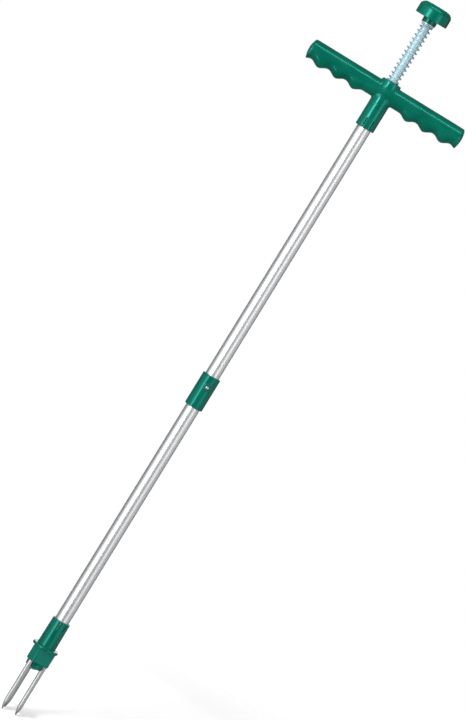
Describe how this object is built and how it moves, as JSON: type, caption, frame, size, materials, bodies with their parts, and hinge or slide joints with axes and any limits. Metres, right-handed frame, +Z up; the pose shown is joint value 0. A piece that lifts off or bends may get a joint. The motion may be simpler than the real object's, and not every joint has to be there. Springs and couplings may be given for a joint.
{
  "type": "stand up weeder",
  "caption": "Long-handled stand up weeder with a T-handle with finger ridges, a sprung plunger knob and an ejector plate between pointed tines at the foot of a two-part shaft.",
  "frame": {"origin": "on the shaft's axis, in the plane of the tine tips", "axes": "+Z up the shaft from the tines to the plunger knob, +X along one arm of the T-handle, -Y the side that the snap button faces"},
  "size_m": [0.219, 0.0436, 1.0232],
  "materials": {
    "green_plastic": "satin moulded polypropylene, deep green",
    "plated_tube": "bright zinc plated steel tube, satin",
    "plated_rod": "blue-white zinc plated steel",
    "spring_steel": "blue-white zinc plated spring wire",
    "tine_steel": "ground steel, dull grey",
    "brass": "plain brass",
    "bush_plastic": "natural acetal",
    "fastener_steel": "zinc plated fasteners"
  },
  "bodies": {
    "frame": {"return_spring": "spring_steel", "spring_seat_washer": "fastener_steel", "t_handle": "green_plastic", "handle_end_cap_right": "green_plastic", "handle_end_cap_left": "green_plastic", "hub_bush": "bush_plastic", "upper_tube": "plated_tube", "tube_coupling": "green_plastic", "coupling_rivet": "fastener_steel", "snap_button_clip": "spring_steel", "lower_tube": "plated_tube", "base_socket": "green_plastic", "rod_guide_bush": "bush_plastic", "tine_block": "green_plastic", "base_screws": "fastener_steel", "tine_front_left": "tine_steel", "tine_right": "tine_steel", "tine_back": "tine_steel"},
    "plunger": {"plunger_knob": "green_plastic", "knob_insert": "brass", "spring_top_washer": "fastener_steel", "plunger_sleeve": "plated_rod", "push_rod_upper": "plated_rod", "rod_stop_pin": "fastener_steel", "rod_connector": "fastener_steel", "push_rod_lower": "plated_rod", "ejector_plate": "green_plastic", "ejector_washer": "fastener_steel", "ejector_screw": "fastener_steel"},
    "snap_button": {"snap_button": "fastener_steel"}
  },
  "joints": [
    {"name": "plunger_slide", "type": "slide", "parent": "frame", "child": "plunger", "axis": [0, 0, -1], "range_m": [0, 0.055], "stiffness_N_per_m": 1500, "springref_m": -0.006, "deforming": ["return_spring"]},
    {"name": "snap_button_slide", "type": "slide", "parent": "frame", "child": "snap_button", "axis": [-0.2554, 0.9668, 0], "range_m": [0, 0.0028], "stiffness_N_per_m": 800, "springref_m": -0.0005, "deforming": ["snap_button_clip"]}
  ]
}
